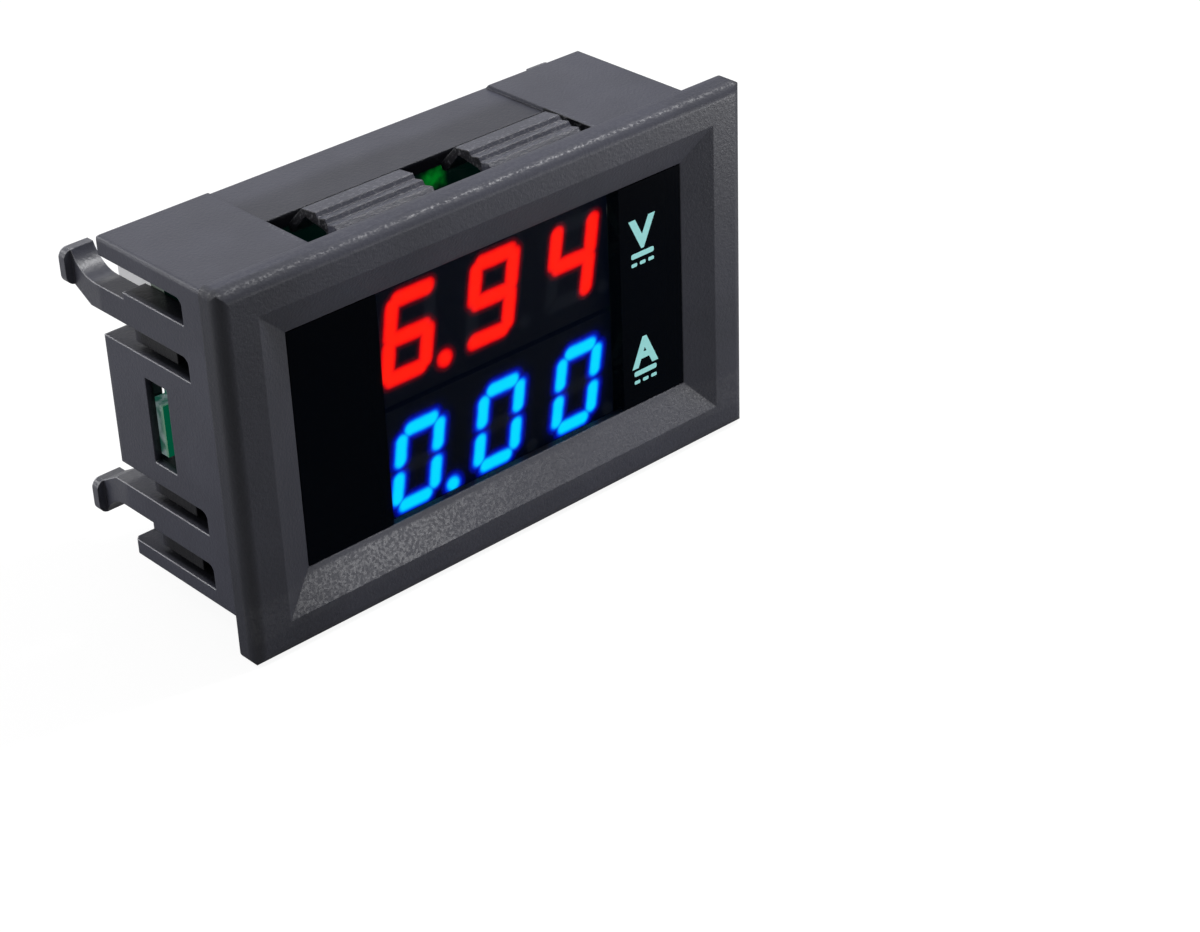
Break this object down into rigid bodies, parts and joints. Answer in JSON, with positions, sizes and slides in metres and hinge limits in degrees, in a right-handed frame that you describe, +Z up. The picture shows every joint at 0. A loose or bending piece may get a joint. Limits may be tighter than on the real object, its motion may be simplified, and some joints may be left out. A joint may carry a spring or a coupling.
{
  "type": "digital panel meter",
  "caption": "Snap-in panel meter with a sloped bezel, tinted window, stacked seven-segment voltage and current displays, latch arms, gripping tongues and a rear circuit board.",
  "frame": {"origin": "centre of the bezel's back plane, which seats on the panel", "axes": "+X to the right seen from the front, +Y rearward through the panel, +Z up"},
  "size_m": [0.048, 0.0234, 0.029],
  "materials": {
    "housing_black": "fine satin moulding",
    "tinted_window": "polished, dark tint",
    "display_black": "matte",
    "lit_red": "glowing red diffuser",
    "lit_cyan": "glowing cyan diffuser",
    "dark_segment": "unlit diffuser",
    "tinned_metal": "tinned",
    "board_green": "solder mask",
    "solder": "bright solder",
    "chip_black": "moulded epoxy",
    "resistor_black": "glazed",
    "capacitor_tan": "fired",
    "trimmer_cream": "fired",
    "trimmer_metal": "satin",
    "header_white": "satin nylon"
  },
  "bodies": {
    "meter": {"housing": "housing_black", "front_window": "tinted_window", "voltage_display_case": "display_black", "voltage_lit_segments": "lit_red", "voltage_dark_segments": "dark_segment", "voltage_display_pins": "tinned_metal", "current_display_case": "display_black", "current_lit_segments": "lit_cyan", "current_dark_segments": "dark_segment", "current_display_pins": "tinned_metal", "circuit_board": "board_green", "solder_joints": "solder", "controller_chip": "chip_black", "amplifier_chip": "chip_black", "regulator_chip": "chip_black", "chip_leads": "tinned_metal", "protection_diode": "chip_black", "chip_resistors": "resistor_black", "chip_capacitors": "capacitor_tan", "current_trimmer_base": "trimmer_cream", "voltage_trimmer_base": "trimmer_cream", "power_header": "header_white", "power_contacts": "tinned_metal", "signal_header": "header_white", "signal_contacts": "tinned_metal"},
    "current_rotor": {"current_trimmer_rotor": "trimmer_metal"},
    "voltage_rotor": {"voltage_trimmer_rotor": "trimmer_metal"}
  },
  "joints": [
    {"name": "current_trimmer_turn", "type": "hinge", "parent": "meter", "child": "current_rotor", "pos_m": [-0.0016, 0.0111, 0.0044], "axis": [0, 1, 0], "range_deg": [-120, 120]},
    {"name": "voltage_trimmer_turn", "type": "hinge", "parent": "meter", "child": "voltage_rotor", "pos_m": [0.0113, 0.0111, -0.0051], "axis": [0, 1, 0], "range_deg": [-120, 120]}
  ]
}
